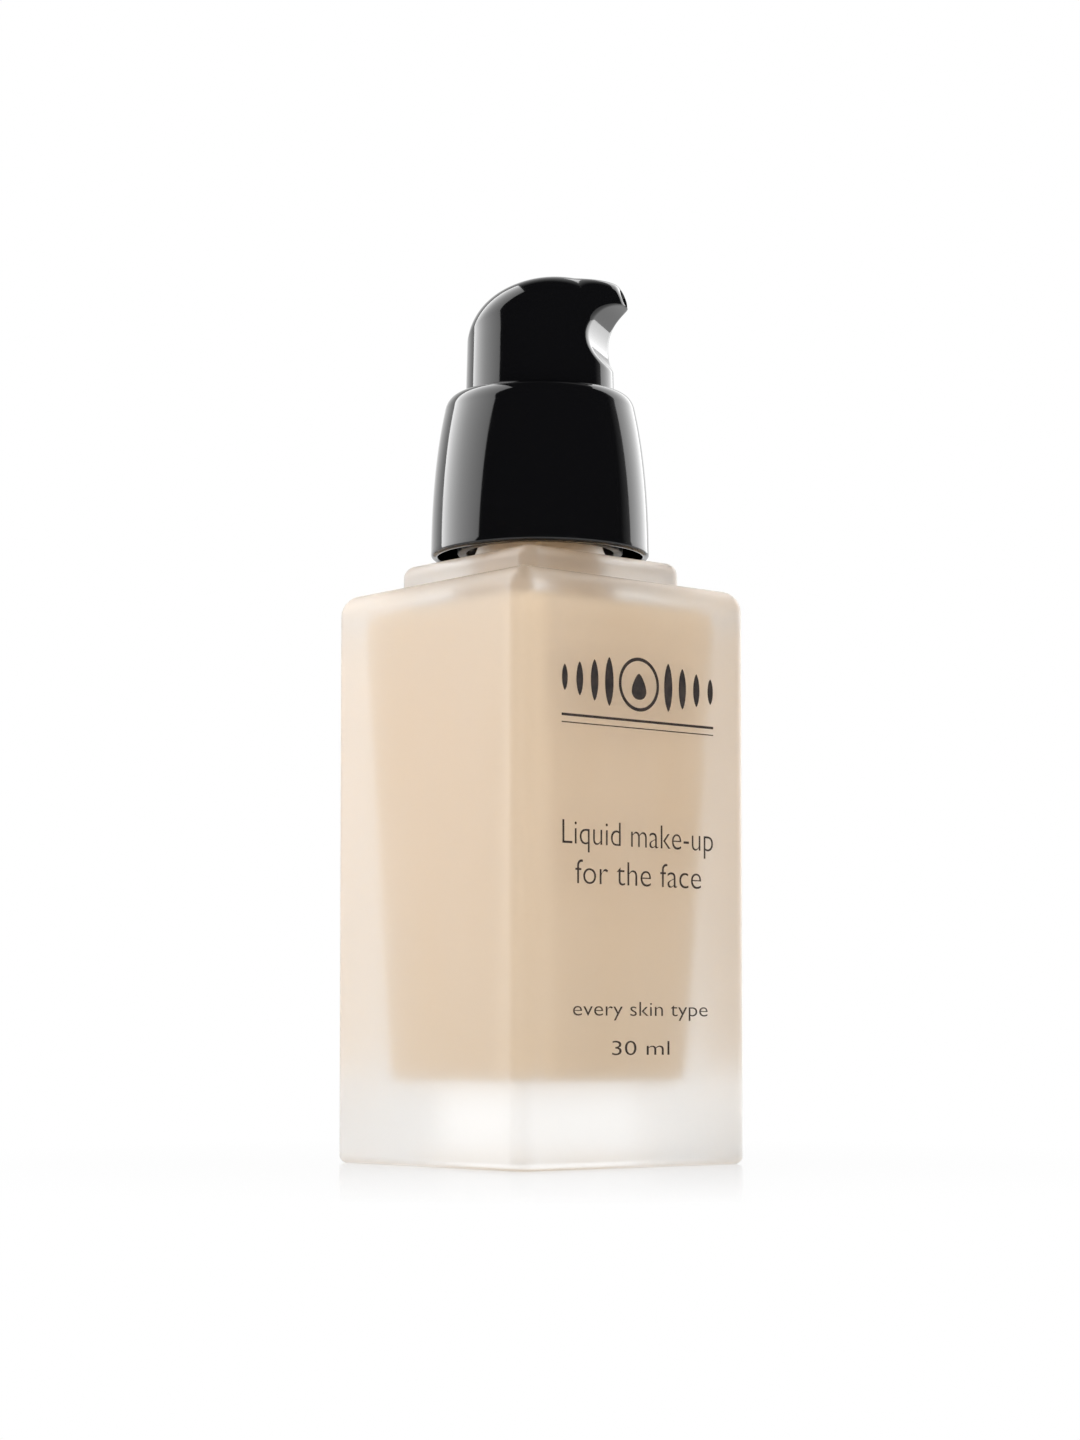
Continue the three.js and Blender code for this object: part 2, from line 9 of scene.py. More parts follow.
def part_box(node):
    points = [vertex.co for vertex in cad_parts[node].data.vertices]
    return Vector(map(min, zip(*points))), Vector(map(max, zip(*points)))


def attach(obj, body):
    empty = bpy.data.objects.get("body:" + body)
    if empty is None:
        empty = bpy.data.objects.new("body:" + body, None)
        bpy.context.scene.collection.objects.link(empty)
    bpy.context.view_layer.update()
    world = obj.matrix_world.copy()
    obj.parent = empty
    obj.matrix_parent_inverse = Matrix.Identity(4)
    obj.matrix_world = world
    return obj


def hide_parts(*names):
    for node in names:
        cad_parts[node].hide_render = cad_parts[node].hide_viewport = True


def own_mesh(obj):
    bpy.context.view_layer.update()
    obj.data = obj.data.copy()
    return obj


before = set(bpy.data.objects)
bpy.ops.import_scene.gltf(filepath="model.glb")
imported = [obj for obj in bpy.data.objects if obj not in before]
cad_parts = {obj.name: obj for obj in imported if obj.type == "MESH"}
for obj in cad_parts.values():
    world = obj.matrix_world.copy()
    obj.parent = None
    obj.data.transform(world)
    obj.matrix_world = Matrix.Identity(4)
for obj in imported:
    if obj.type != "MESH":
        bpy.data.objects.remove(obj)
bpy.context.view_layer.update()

MM = 0.001
PITCH = 3.0  # the screw thread's lead
INK_LIFT = 0.012  # how far the print's middle stands off the glass
SOAK = 0.02  # how far the liquid's skin stands inside the glass, so that the two never flicker
WALL = 0.85  # the collar's
MOUTH = 0.4  # the rounding of the bore's mouth
THROAT = 0.4  # the slant from the bore out to the cavity's roof
FILM = 0.12  # how thick the liquid lies on the bore
BRIM = 0.6  # how far under the lip that film stops

# The CAD's own dimensions, in millimetres, for the pieces that are made again more finely here.
BODY = {"half": 17, "corner": 2.2, "top": 65.5, "lower": 0.9, "upper": 2.5}
STEP = {"half": 11.75, "corner": 1.9, "top": 68.8, "upper": 1.4}
DISH = {"radius": 12, "depth": 0.8}
CAVITY = {"floor": 9.3, "roof": 63.2, "foot": 10.9, "head": 14.1, "corner": 2.4, "lower": 1.6, "upper": 2.4}
NECK = {"radius": 7.2, "bore": 4.6, "top": 77.5, "flare": 2.4, "thread": 71.9, "turns": 1.5, "ridge": 1.05}
CAP_THREAD = {"first": 0.3, "turns": 1, "drop": 1.25, "depth": 1.0}
CAP = {"bottom": 70.1, "inner": 8.5, "outer": 9.6, "disc": 79.25, "top": 80.35, "hole": 5.3, "bead": 10.9}
COLLAR = {"bottom": 69.6, "foot": 12.6, "shoulder": 11.05, "shoulder_z": 86.5, "top": 88.4, "opening": 8.95}
POCKET = {"tube": 1.85, "socket": 2.7, "chamber": 4.65}
POCKET |= {"foot": 10.6, "socket_z": 45.2, "cone": 50.2, "wide": 53.8}
HEAD = {"foot": 8.6, "brow": 8.4, "wall": 1.1, "skirt": 86.6, "yaw": -57}
HEAD |= {"side": 2.8, "back": 1.1, "tip": 1.9}  # the rounding of its upper edge
CROWN = {"z": 101.35, "x": 4, "reach": 13, "drop": 8.7, "ahead": 0.012, "across": 0.008}
BEAK = {"reach": 10.45, "spread": 38, "from": 94.2, "to": 98}
SCOOP = {"x": 10.9, "z": 94.4, "radius": 3.9}
SPOUT = {"root": 98, "x": 10.3, "z": 99.35, "outer": 0.75, "bore": 0.42}
SPOUT |= {"start": 5, "recess": 0.8, "tilt": 20}


# ---------------------------------------------------------------- number helpers
def lerp(a, b, t):
    return a + (b - a) * t


def clamp(value, low=0.0, high=1.0):
    return max(low, min(high, value))


def smoothstep(value, low, high):
    t = clamp((value - low) / (high - low))
    return t * t * (3 - 2 * t)


def smooth_min(a, b, width):
    """The smaller of two lengths, with the corner between them rounded over a width."""
    h = clamp(0.5 + 0.5 * (b - a) / width)
    return lerp(b, a, h) - width * h * (1 - h)


def quarter(steps):
    """Angles from 0 to a right angle."""
    return [math.pi / 2 * i / steps for i in range(steps + 1)]


# ---------------------------------------------------------------- mesh helpers
def square_ring(half, corner, z, steps=16):
    """A level square with round corners. With corner equal to half it is a circle."""
    points = []
    for side in range(4):
        middle = (side + 0.5) * math.pi / 2
        offset = (half - corner) * math.sqrt(2)
        for a in quarter(steps):
            angle = side * math.pi / 2 + a
            x = offset * math.cos(middle) + corner * math.cos(angle)
            y = offset * math.sin(middle) + corner * math.sin(angle)
            points.append(Vector((x, y, z)))
    return points


def circle_ring(radius, z, count):
    return [Vector((radius * math.cos(a), radius * math.sin(a), z))
            for a in (2 * math.pi * i / count for i in range(count))]


def lofted(name, rings, materials, slots=None, closed=False, origin=Matrix.Identity(4)):
    """A skin over rings of points in millimetres. A ring of one point is a pole.

    slots gives each band of faces its material's place in the list. closed joins the last ring
    to the first.
    """
    bm = bmesh.new()
    made = [[bm.verts.new(origin @ p * MM) for p in ring] for ring in rings]
    if closed:
        made.append(made[0])
    for band, (low, high) in enumerate(zip(made, made[1:])):
        count = max(len(low), len(high))
        for i in range(count):
            j = (i + 1) % count
            corners = [low[i % len(low)], low[j % len(low)], high[j % len(high)], high[i % len(high)]]
            face = bm.faces.new(list(dict.fromkeys(corners)))
            face.smooth = True
            face.material_index = slots[band] if slots else 0
    bmesh.ops.remove_doubles(bm, verts=bm.verts, dist=1e-8)
    bmesh.ops.recalc_face_normals(bm, faces=bm.faces)
    return add_mesh(name, bm, materials)


def add_mesh(name, bm, materials):
    mesh = bpy.data.meshes.new(name)
    bm.to_mesh(mesh)
    bm.free()
    for material in materials:
        mesh.materials.append(material)
    piece = bpy.data.objects.new(name, mesh)
    bpy.context.scene.collection.objects.link(piece)
    return piece


def filleted(profile, radius, steps=4):
    """A closed outline with each corner rounded, by as much as its sides leave room for."""
    rounded = []
    for i, here in enumerate(profile):
        before = profile[i - 1]
        after = profile[(i + 1) % len(profile)]
        back, on = before - here, after - here
        cut = min(radius, 0.45 * back.length, 0.45 * on.length)
        start, end = here + back.normalized() * cut, here + on.normalized() * cut
        for k in range(steps + 1):
            t = k / steps
            rounded.append(start * (1 - t) ** 2 + here * 2 * t * (1 - t) + end * t * t)
    return rounded


def turned(name, profile, materials, radius, count=96, shape=None):
    """A turned ring from a closed outline of (radius, z), with its corners rounded.

    shape may move each point by its angle.
    """
    rounded = filleted([Vector(p) for p in profile], radius)
    rings = []
    for r, z in rounded:
        ring = circle_ring(r, z, count)
        if shape:
            ring = [shape(p) for p in ring]
        rings.append(ring)
    return lofted(name, rings, materials, closed=True)


def even_normals(piece):
    """Keeps flat faces flat beside their rounded edges."""
    modifier = piece.modifiers.new("even_normals", "WEIGHTED_NORMAL")
    modifier.keep_sharp = True
    modifier.weight = 60


def thread_height(point, start_z, turns, first_turn, depth):
    """How far a screw ridge stands out at a point of the wall that carries it."""
    around = (math.atan2(point.y, point.x) / (2 * math.pi)) % 1
    best = 0.0
    for whole in range(3):
        t = around + whole - first_turn
        if not 0 <= t <= turns:
            continue
        off = abs(point.z - (start_z + PITCH * t))
        run_out = smoothstep(min(t, turns - t) / turns, 0, 0.12)
        best = max(best, depth * run_out * smoothstep(0.8 - off, 0, 0.5))
    return best


# ---------------------------------------------------------------- material helpers
class Surface:
    """A Principled material, and short ways to put procedural detail on it."""

    def __init__(self, name, colour, roughness, **constants):
        self.material = bpy.data.materials.new(name)
        self.material.use_nodes = True
        self.tree = self.material.node_tree
        self.shader = self.tree.nodes["Principled BSDF"]
        self.shader.inputs["Base Color"].default_value = (*colour, 1)
        self.shader.inputs["Roughness"].default_value = roughness
        for key, value in constants.items():
            self.shader.inputs[key.replace("_", " ")].default_value = value
        self.place = self.node("ShaderNodeTexCoord").outputs["Object"]

    def node(self, kind, **settings):
        made = self.tree.nodes.new(kind)
        for key, value in settings.items():
            setattr(made, key, value)
        return made

    def noise(self, scale, detail=3.0, stretch=(1, 1, 1)):
        mapping = self.node("ShaderNodeMapping")
        mapping.inputs["Scale"].default_value = stretch
        texture = self.node("ShaderNodeTexNoise")
        texture.inputs["Scale"].default_value = scale
        texture.inputs["Detail"].default_value = detail
        self.tree.links.new(self.place, mapping.inputs["Vector"])
        self.tree.links.new(mapping.outputs["Vector"], texture.inputs["Vector"])
        return texture.outputs["Fac"]

    def vary_roughness(self, low, high, **noise):
        spread = self.node("ShaderNodeMapRange")
        spread.inputs["From Min"].default_value = 0.3
        spread.inputs["From Max"].default_value = 0.7
        spread.inputs["To Min"].default_value = low
        spread.inputs["To Max"].default_value = high
        self.tree.links.new(self.noise(**noise), spread.inputs["Value"])
        self.tree.links.new(spread.outputs["Result"], self.shader.inputs["Roughness"])
        return self

    def vary_colour(self, first, second, **noise):
        ramp = self.node("ShaderNodeValToRGB")
        ramp.color_ramp.elements[0].position = 0.35
        ramp.color_ramp.elements[0].color = (*first, 1)
        ramp.color_ramp.elements[1].position = 0.65
        ramp.color_ramp.elements[1].color = (*second, 1)
        self.tree.links.new(self.noise(**noise), ramp.inputs["Fac"])
        self.tree.links.new(ramp.outputs["Color"], self.shader.inputs["Base Color"])
        return self

    def bump(self, depth, **noise):
        bump = self.node("ShaderNodeBump")
        bump.inputs["Distance"].default_value = depth
        self.tree.links.new(self.noise(**noise), bump.inputs["Height"])
        self.tree.links.new(bump.outputs["Normal"], self.shader.inputs["Normal"])
        return self


def etched_glass():
    surface = Surface("etched_glass", (0.985, 0.98, 0.97), 0.47, IOR=1.5, Transmission_Weight=0.94)
    surface.bump(4e-6, scale=9000, detail=2)
    return surface.material


def clear_glass():
    surface = Surface("clear_glass", (0.99, 0.995, 0.99), 0.04, IOR=1.5, Transmission_Weight=1.0)
    surface.bump(2e-6, scale=300)
    return surface.material


def cream():
    surface = Surface("cream", (0.8, 0.6, 0.42), 0.45, Specular_IOR_Level=0.3)
    surface.vary_colour((0.84, 0.628, 0.405), (0.86, 0.66, 0.45), scale=120, stretch=(1, 1, 0.35))
    surface.bump(2e-5, scale=400, detail=2)
    return surface.material


def black_gloss():
    surface = Surface("black_gloss", (0.003, 0.003, 0.0035), 0.06, IOR=1.5)
    surface.vary_roughness(0.045, 0.085, scale=260)
    surface.bump(1.5e-6, scale=500, detail=1)
    return surface.material


def black_satin():
    surface = Surface("black_satin", (0.014, 0.014, 0.015), 0.35, IOR=1.5)
    surface.vary_roughness(0.28, 0.42, scale=600)
    surface.bump(8e-6, scale=3500)
    return surface.material


def natural_plastic():
    surface = Surface("natural_plastic", (0.84, 0.83, 0.79), 0.4, IOR=1.49, Transmission_Weight=0.35)
    surface.vary_roughness(0.32, 0.46, scale=500)
    surface.bump(6e-6, scale=2500)
    return surface.material


def soft_plastic():
    surface = Surface("soft_plastic", (0.7, 0.74, 0.78), 0.5)
    surface.vary_roughness(0.45, 0.6, scale=700)
    surface.bump(8e-6, scale=3000)
    return surface.material


def foam():
    surface = Surface("foam", (0.88, 0.87, 0.83), 0.9)
    surface.vary_colour((0.82, 0.81, 0.77), (0.9, 0.89, 0.86), scale=4000)
    surface.bump(4e-5, scale=5000, detail=2)
    return surface.material


def nitrile():
    surface = Surface("nitrile", (0.02, 0.02, 0.02), 0.75)
    surface.vary_roughness(0.65, 0.85, scale=1500)
    surface.bump(1e-5, scale=4000)
    return surface.material


def spring_wire():
    surface = Surface("spring_wire", (0.58, 0.58, 0.6), 0.25, Metallic=1.0)
    surface.vary_roughness(0.18, 0.34, scale=1500, stretch=(1, 1, 6))
    surface.bump(3e-6, scale=4000, stretch=(1, 1, 4))
    return surface.material


def polished_steel():
    surface = Surface("polished_steel", (0.66, 0.66, 0.68), 0.08, Metallic=1.0)
    surface.vary_roughness(0.05, 0.14, scale=900)
    return surface.material


def ink():
    surface = Surface("ink", (0.018, 0.012, 0.01), 0.45)
    surface.vary_colour((0.012, 0.008, 0.007), (0.035, 0.024, 0.02), scale=1500)
    surface.vary_roughness(0.38, 0.55, scale=2500)
    return surface.material


GLASS_OUT, GLASS_IN = etched_glass(), clear_glass()
CREAM = cream()
GLOSS, SATIN = black_gloss(), black_satin()
NATURAL, SOFT = natural_plastic(), soft_plastic()
FOAM, NITRILE = foam(), nitrile()
WIRE, BALL = spring_wire(), polished_steel()
INK = ink()


# ---------------------------------------------------------------- the glass and what it holds
def edge_rings(half_at, corner, radius, z, up, steps=7):
    """Rings round a rounded edge. Up to a top face from a wall if up is true, else down to a foot."""
    rings = []
    for a in quarter(steps):
        inset = radius * (1 - math.cos(a))
        height = z + radius * math.sin(a) * (1 if up else -1)
        rings.append(square_ring(half_at(height) - inset, max(corner - inset, 0.3), height))
    return rings


def body_rings():
    """The outside of the glass, from the middle of its base up to the foot of its neck."""
    sphere = (DISH["radius"] ** 2 + DISH["depth"] ** 2) / (2 * DISH["depth"])
    rings = [[Vector((0, 0, DISH["depth"]))]]
    for share in (0.25, 0.5, 0.75, 0.95, 1):
        r = DISH["radius"] * share
        height = math.sqrt(sphere ** 2 - r ** 2) - (sphere - DISH["depth"])
        rings.append(square_ring(r, r, height))

    def body_half(z):
        return BODY["half"]

    rings += edge_rings(body_half, BODY["corner"], BODY["lower"], BODY["lower"], False)[::-1]
    rings += edge_rings(body_half, BODY["corner"], BODY["upper"], BODY["top"] - BODY["upper"], True)
    cove = 0.5
    for a in quarter(5):
        out = cove * (1 - math.sin(a))
        z = BODY["top"] + cove * (1 - math.cos(a))
        rings.append(square_ring(STEP["half"] + out, STEP["corner"] + out, z))

    def step_half(z):
        return STEP["half"]

    rings += edge_rings(step_half, STEP["corner"], STEP["upper"], STEP["top"] - STEP["upper"], True)
    return rings


FLARE_STEPS = 8


def neck_rings():
    """The outside of the neck: a flare, the screw thread and the lip."""
    rings = []
    for a in quarter(FLARE_STEPS):
        r = NECK["radius"] + NECK["flare"] * (1 - math.sin(a))
        rings.append(square_ring(r, r, STEP["top"] + NECK["flare"] * (1 - math.cos(a))))
    z = STEP["top"] + NECK["flare"]
    lip = 0.5
    while z < NECK["top"] - lip - 0.1:
        z += 0.12
        ring = square_ring(NECK["radius"], NECK["radius"], z)
        heights = [thread_height(p, NECK["thread"], NECK["turns"], 0, NECK["ridge"]) for p in ring]
        rings.append([raised(p, height) for p, height in zip(ring, heights)])
    for a in quarter(5):
        r = NECK["radius"] - lip * (1 - math.cos(a))
        rings.append(square_ring(r, r, NECK["top"] - lip + lip * math.sin(a)))
    return rings


def raised(point, height):
    out = Vector((point.x, point.y, 0)).normalized()
    return point + out * height


def cavity_rings(grow=0.0):
    """The inner wall, from its roof's edge down to the middle of its floor."""
    def half_at(z):
        rise = (z - CAVITY["floor"]) / (CAVITY["roof"] - CAVITY["floor"])
        return lerp(CAVITY["foot"], CAVITY["head"], rise) + grow

    high, low = CAVITY["roof"] - CAVITY["upper"], CAVITY["floor"] + CAVITY["lower"]
    rings = edge_rings(half_at, CAVITY["corner"], CAVITY["upper"], high, True)[::-1]
    rings += edge_rings(half_at, CAVITY["corner"], CAVITY["lower"], low, False)
    return rings + [[Vector((0, 0, CAVITY["floor"] - grow))]]


def make_glass():
    outside = body_rings() + neck_rings()
    bore = NECK["bore"]
    inside = [square_ring(bore + MOUTH * (1 - math.sin(a)), bore + MOUTH * (1 - math.sin(a)),
                          NECK["top"] - MOUTH * (1 - math.cos(a))) for a in quarter(4)]
    inside.append(square_ring(bore, bore, CAVITY["roof"] + THROAT))
    inside.append(square_ring(bore + THROAT, bore + THROAT, CAVITY["roof"]))
    inside += cavity_rings()
    frosted = len(body_rings()) + FLARE_STEPS
    slots = [0] * frosted + [1] * (len(outside) + len(inside) - frosted)
    glass = lofted("bottle_glass", outside + inside, [GLASS_OUT, GLASS_IN], slots)
    even_normals(glass)
    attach(glass, "bottle")
    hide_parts("glass_bottle")
    return glass


def make_cream():
    """The liquid touches the glass, so its skin stands a hair inside it, and a film of it lines the bore."""
    bore, film = NECK["bore"] + SOAK, NECK["bore"] - FILM
    roof = CAVITY["roof"] + SOAK
    brim = NECK["top"] - BRIM
    neck = [(bore, brim), (bore, roof + THROAT), (bore + THROAT, roof)]
    skin = [square_ring(r, r, z) for r, z in neck] + cavity_rings(grow=SOAK)
    tube, socket, chamber = POCKET["tube"], POCKET["socket"], POCKET["chamber"]
    hollow = [(tube, POCKET["foot"]), (tube, POCKET["socket_z"] - 0.1), (socket, POCKET["socket_z"]),
              (socket, POCKET["cone"]), (chamber, POCKET["wide"]), (chamber, CAVITY["roof"] - 0.4),
              (film, CAVITY["roof"] - 0.2), (film, brim)]
    rings = [[Vector((0, 0, POCKET["foot"]))]] + [square_ring(r, r, z) for r, z in hollow]
    liquid = lofted("foundation_cream", rings + skin, [CREAM])
    even_normals(liquid)
    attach(liquid, "bottle")
    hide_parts("foundation_fill")


# ---------------------------------------------------------------- closure
def curve_points(points, steps):
    """Points along a Bezier curve of any order."""
    made = []
    for k in range(steps + 1):
        row = [Vector(p) for p in points]
        while len(row) > 1:
            row = [a.lerp(b, k / steps) for a, b in zip(row, row[1:])]
        made.append(row[0])
    return made


def make_collar():
    foot, bottom, top = COLLAR["foot"], COLLAR["bottom"], COLLAR["top"]
    shoulder, shoulder_z, opening = COLLAR["shoulder"], COLLAR["shoulder_z"], COLLAR["opening"]
    barrel = curve_points([(foot, bottom + 0.35), (foot - 0.05, 75.5), (foot - 0.45, 81.5),
                           (shoulder, shoulder_z)], 40)
    lip = curve_points([(shoulder, shoulder_z), (shoulder - 0.3, top - 0.1), (opening + 0.35, top)], 16)
    rim = curve_points([(opening + 0.35, top), (opening, top), (opening, top - 0.35)], 6)
    inner = foot - WALL
    toe = curve_points([(foot - 0.5, bottom), (foot - 0.05, bottom), (foot, bottom + 0.35)], 6)
    seat = CAP["bead"] + 0.12
    inside = [(opening, top - 1), (shoulder - 1.2, top - 1.3), (shoulder - 0.9, shoulder_z - 0.8),
              (seat - 0.55, CAP["top"] + 0.15), (seat, CAP["top"] + 0.15), (seat, CAP["top"] - 2.4),
              (inner, CAP["bottom"] + 4), (inner, bottom + 0.2), (inner + 0.2, bottom)]
    outline = toe + barrel[1:] + lip[1:] + rim[1:] + [Vector(p) for p in inside]
    rings = [circle_ring(r, z, 160) for r, z in outline]
    collar = lofted("collar", rings, [GLOSS], closed=True)
    even_normals(collar)
    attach(collar, "closure")
    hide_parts("collar_shell")


def make_inner_cap():
    bead_foot = CAP["top"] - 2
    thread_start = NECK["thread"] + PITCH * CAP_THREAD["first"] - CAP_THREAD["drop"]

    def shape(p):
        """Ribs outside the skirt, and the thread inside it."""
        r = math.hypot(p.x, p.y)
        if abs(r - CAP["outer"]) < 0.05 and p.z < bead_foot - 1.2:
            return raised(p, -0.14 * (0.5 + 0.5 * math.cos(32 * math.atan2(p.y, p.x))))
        if abs(r - CAP["inner"]) < 0.05:
            turns, first, depth = (CAP_THREAD[key] for key in ("turns", "first", "depth"))
            return raised(p, -thread_height(p, thread_start, turns, first, depth))
        return p

    wall = [(CAP["inner"], z) for z in [CAP["disc"] - 0.2 * k for k in range(1, 45)]]
    outline = [(CAP["inner"], CAP["bottom"]), (CAP["outer"], CAP["bottom"]), (CAP["outer"], bead_foot - 0.8),
               (CAP["bead"], bead_foot), (CAP["bead"], CAP["top"]), (CAP["hole"], CAP["top"]),
               (CAP["hole"], CAP["disc"]), *wall]
    cap = turned("inner_cap", outline, [SATIN], radius=0.2, count=192, shape=shape)
    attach(cap, "closure")
    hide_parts("screw_cap")


# ---------------------------------------------------------------- head
TURN = Matrix.Rotation(math.radians(HEAD["yaw"]), 4, "Z")


def crown(x, y):
    ahead = x - CROWN["x"]
    if ahead < 0:
        fall = CROWN["drop"] * (1 - math.sqrt(max(0.0, 1 - (ahead / CROWN["reach"]) ** 2)))
    else:
        fall = CROWN["ahead"] * ahead ** 2
    return CROWN["z"] - fall - CROWN["across"] * y ** 2


class Direction:
    """What the head's surface does in one direction round its axis."""

    def __init__(self, angle, offset):
        self.angle, self.offset = angle, offset
        self.cos, self.sin = math.cos(angle), math.sin(angle)
        away = min(abs(angle) / math.radians(BEAK["spread"]), 1)
        self.beak = 0 if offset else math.cos(away * math.pi / 2) ** 2
        behind = min(self.cos, 0) ** 2
        edge = lerp(lerp(HEAD["side"], HEAD["back"], behind), HEAD["tip"], self.beak)
        self.edge = edge * (0.6 if offset else 1)
        self.full = lerp(HEAD["brow"] - offset, BEAK["reach"], self.beak)

    def top(self, r):
        return crown(r * self.cos, r * self.sin) - self.offset

    def limited(self, r, z):
        """Cuts the finger scoop and the beak's slanted mouth."""
        if self.cos <= 0.3:
            return r
        rise = abs(z - SCOOP["z"])
        reach = SCOOP["radius"] + self.offset
        if rise < reach:
            r = smooth_min(r, (SCOOP["x"] - math.sqrt(reach ** 2 - rise ** 2)) / self.cos, 0.45)
        slope = math.tan(math.radians(SPOUT["tilt"]))
        mouth = (SPOUT["x"] - 0.25 - (z - SPOUT["z"]) * slope) / self.cos
        return smooth_min(r, mouth, 0.3)

    def point(self, r, z):
        r = self.limited(r, z)
        return Vector((r * self.cos, r * self.sin, z))

    def wall(self, share, bottom):
        z = lerp(bottom, self.top(self.full) - self.edge, share)
        wall = lerp(HEAD["foot"], HEAD["brow"], smoothstep(z, HEAD["skirt"], BEAK["to"])) - self.offset
        grown = smoothstep(z, BEAK["from"], BEAK["to"]) if self.beak else 0
        return self.point(lerp(wall, self.full, grown), z)

    def rounding(self, bend):
        r = self.full - self.edge * (1 - math.cos(bend))
        return self.point(r, self.top(r) - self.edge * (1 - math.sin(bend)))

    def roof(self, share):
        r = (self.full - self.edge) * share
        return self.point(r, self.top(r))


def head_rings(offset, bottom, count=200):
    turns = [(2 * i / count - 1) * math.pi for i in range(count)]
    ways = [Direction(t - 0.45 * math.sin(t), offset) for t in turns]
    shares = [0.02 * k for k in range(1, 43)] + [0.84 + 0.0035 * k for k in range(1, 38)] + [0.98, 1]
    rings = [[way.wall(share, bottom) for way in ways] for share in [0, 0.008, *shares]]
    rings += [[way.rounding(bend) for way in ways] for bend in quarter(14)[1:]]
    rings += [[way.roof(1 - k / 18) for way in ways] for k in range(1, 18)]
    return rings + [[Vector((0, 0, crown(0, 0) - offset))]]


def spout_line(distance):
    """A point that far out along the spout's rising axis."""
    return Vector((distance, 0, lerp(SPOUT["root"], SPOUT["z"], distance / SPOUT["x"])))


def spout_frame():
    """The matrix that stands Z up along the spout's axis, turned with the head."""
    along = (spout_line(1) - spout_line(0)).normalized()
    return TURN @ along.to_track_quat("Z", "Y").to_matrix().to_4x4()


def make_head():
    outer = head_rings(0, HEAD["skirt"])
    inner = head_rings(HEAD["wall"], HEAD["skirt"])
    for ring, out in ((outer[0], -0.12), (inner[0], 0.12)):
        ring[:] = [raised(p, out) for p in ring]
    head = lofted("pump_head", outer[::-1] + inner, [GLOSS], origin=TURN)
    far, near = spout_line(SPOUT["x"] + 1), spout_line(SPOUT["start"])
    length = (far - near).length
    bore = SPOUT["outer"] + 0.06
    widening = [(bore, 0), (bore, length - 1.9), (bore + 0.25, length - 1.25), (bore + 0.4, length)]
    rings = [[Vector((0, 0, 0))]] + [circle_ring(r, z, 48) for r, z in widening]
    place = Matrix.Translation(TURN @ near) @ spout_frame()
    drill = lofted("drill", rings + [[Vector((0, 0, length))]], [], origin=place)
    cut = head.modifiers.new("mouth", "BOOLEAN")
    cut.object = drill
    cut.solver = "EXACT"
    bake_modifiers(head)
    bpy.data.objects.remove(drill)
    head.data.set_sharp_from_angle(angle=math.radians(38))
    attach(head, "head")
    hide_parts("actuator_shell")


def bake_modifiers(piece):
    """Makes a piece's modifiers part of its mesh."""
    graph = bpy.context.evaluated_depsgraph_get()
    baked = bpy.data.meshes.new_from_object(piece.evaluated_get(graph))
    piece.modifiers.clear()
    piece.data = baked


def make_spout_insert():
    near, far = spout_line(SPOUT["start"] + 0.1), spout_line(SPOUT["x"] - SPOUT["recess"])
    length = (far - near).length
    outline = [(SPOUT["bore"], 0), (SPOUT["outer"], 0), (SPOUT["outer"], length), (SPOUT["bore"], length)]
    rounded = filleted([Vector(p) for p in outline], 0.08)
    place = Matrix.Translation(TURN @ near) @ spout_frame()
    rings = [circle_ring(r, z, 48) for r, z in rounded]
    insert = lofted("spout_insert", rings, [SATIN], closed=True, origin=place)
    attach(insert, "head")
    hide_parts("nozzle_insert")


# ---------------------------------------------------------------- turned pieces inside the pump
# Outlines of the turned pieces, as (radius, height) in millimetres.
SNAP_RING = [(2, 76), (2.95, 76), (2.95, 75), (3.75, 75), (3.75, 82), (5.25, 82), (5.25, 80.5), (6.3, 80.5),
             (6.3, 82.8), (2, 82.8)]
WIPER_SEAL = [(1.95, 75.1), (2.85, 75.1), (2.85, 75.9), (1.95, 75.9)]
GASKET = [(4.7, 77.55), (7.9, 77.55), (7.9, 78.35), (4.7, 78.35)]
UPPER_STEM = [(1.4, 74.4), (2.75, 74.4), (2.75, 74.9), (1.9, 74.9), (1.9, 95), (1, 95), (1, 77.5),
              (1.4, 77.5)]
SLEEVE = [(1.42, 67.25), (2.3, 67.25), (2.3, 68.625), (3.1, 67.35), (3.8, 67.35), (3.6, 68.925),
          (3.6, 69.525), (3.8, 71.1), (3.1, 71.1), (2.3, 69.825), (2.3, 71.2), (1.42, 71.2)]


def make_turned(name, outline, node, body, material):
    piece = turned(name, outline, [material], radius=0.1)
    even_normals(piece)
    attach(piece, body)
    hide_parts(node)


def make_spring(name, node, body, wire, turns):
    """A coil of round wire that fills its CAD node's box."""
    low, high = (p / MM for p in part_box(node))
    radius = (high.x - low.x) / 2 - wire
    first, last = low.z + wire, high.z - wire
    steps, around = int(turns * 40), 14
    rings = []
    for k in range(steps + 1):
        t = k / steps
        a = 2 * math.pi * turns * t
        out = Vector((math.cos(a), math.sin(a), 0))
        centre = out * radius + Vector((0, 0, lerp(first, last, t)))
        rings.append([centre + (out * math.cos(b) + Vector((0, 0, math.sin(b)))) * wire
                      for b in (2 * math.pi * i / around for i in range(around))])
    ends = [[sum(ring, Vector()) / around] for ring in (rings[0], rings[-1])]
    coil = lofted(name, [ends[0], *rings, ends[1]], [WIRE])
    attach(coil, body)
    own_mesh(coil)
    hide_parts(node)


def make_ball():
    low, high = (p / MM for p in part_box("inlet_ball"))
    middle, radius = (low + high) / 2, (high.x - low.x) / 2
    rings = [[middle - Vector((0, 0, radius))]]
    for k in range(1, 32):
        a = math.pi * k / 32
        rings.append(circle_ring(radius * math.sin(a), middle.z - radius * math.cos(a), 48))
    ball = lofted("check_ball", rings + [[middle + Vector((0, 0, radius))]], [BALL])
    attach(ball, "ball")
    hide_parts("inlet_ball")


